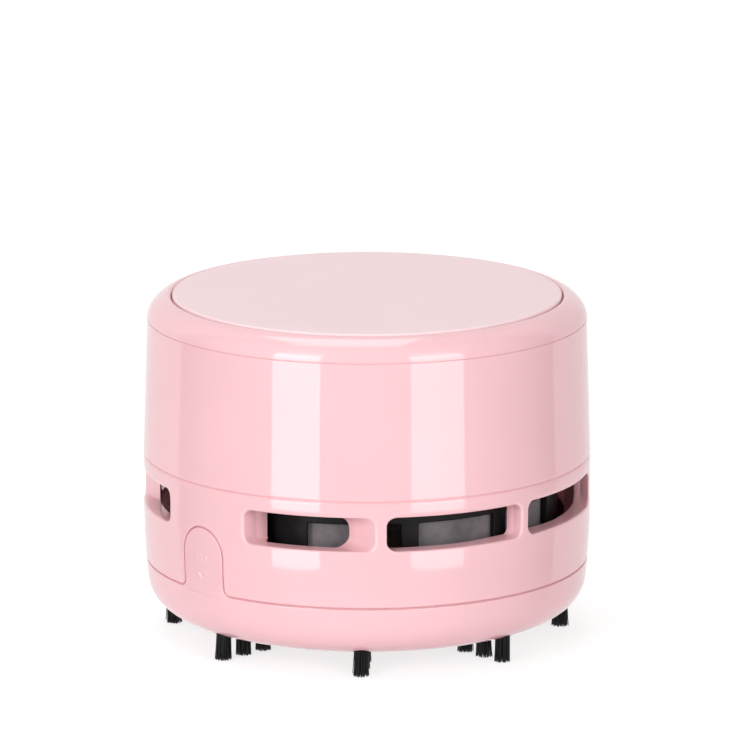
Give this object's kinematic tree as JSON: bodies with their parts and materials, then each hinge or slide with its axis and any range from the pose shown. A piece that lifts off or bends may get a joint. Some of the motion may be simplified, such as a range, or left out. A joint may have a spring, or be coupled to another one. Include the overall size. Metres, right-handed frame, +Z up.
{
  "type": "desktop mini vacuum cleaner",
  "caption": "Round battery desktop vacuum cleaner on bristle tufts, with a pull-off dust box, exhaust windows, spinning impeller, lift-off battery cover and slide switch.",
  "frame": {"origin": "centre of the body on the surface that the bristle tips stand on", "axes": "+Z up along the body's axis; the dust box's release tab faces -Y and the power switch +Y"},
  "size_m": [0.085, 0.085, 0.065],
  "materials": {
    "pink_gloss": "gloss",
    "pink_matte": "matte",
    "black_plastic": "satin",
    "black_rubber": "matte",
    "filter_cloth": "matte",
    "bristle": "satin",
    "motor_steel": "satin",
    "white_nylon": "satin",
    "bronze": "satin",
    "magnet": "matte",
    "brass": "satin",
    "screw_steel": "satin",
    "armature": "satin",
    "cell": "satin",
    "contact_steel": "satin",
    "lead_red": "satin",
    "lead_black": "satin",
    "lead_yellow": "satin"
  },
  "bodies": {
    "housing": {"upper_housing": "pink_gloss", "vent_band": "pink_gloss", "motor_deck": "pink_gloss", "motor_can": "motor_steel", "motor_end_cap": "white_nylon", "motor_bushes": "bronze", "motor_magnets": "magnet", "motor_terminals": "brass", "motor_gasket": "black_rubber", "motor_clamp": "black_plastic", "clamp_screws": "screw_steel", "battery_tray": "black_plastic", "battery_left": "cell", "battery_right": "cell", "bridge_contact": "contact_steel", "rear_contacts": "contact_steel", "contact_springs": "contact_steel", "switch_body": "contact_steel", "switch_screws": "screw_steel", "lead_red": "lead_red", "lead_black": "lead_black", "lead_yellow": "lead_yellow", "housing_screws": "screw_steel", "tray_screws": "screw_steel"},
    "cover": {"top_cover": "pink_gloss", "top_disc": "pink_matte"},
    "dust_tray": {"dust_box": "pink_gloss", "filter_cage": "black_plastic", "filter_cloth": "filter_cloth", "seal_ring": "black_rubber", "bristle_tufts": "bristle"},
    "rotor": {"motor_shaft": "motor_steel", "armature": "armature", "impeller": "white_nylon"},
    "switch": {"switch_knob": "pink_matte", "switch_actuator": "black_plastic"}
  },
  "joints": [
    {"name": "dust_box_slide", "type": "slide", "parent": "housing", "child": "dust_tray", "axis": [0, 0, -1], "range_m": [0, 0.035]},
    {"name": "cover_lift", "type": "slide", "parent": "housing", "child": "cover", "axis": [0, 0, 1], "range_m": [0, 0.022]},
    {"name": "impeller_spin", "type": "hinge", "parent": "housing", "child": "rotor", "pos_m": [0, 0, 0.03], "axis": [0, 0, 1], "continuous": true},
    {"name": "power_switch", "type": "slide", "parent": "housing", "child": "switch", "axis": [1, 0, 0], "range_m": [0, 0.003]}
  ]
}
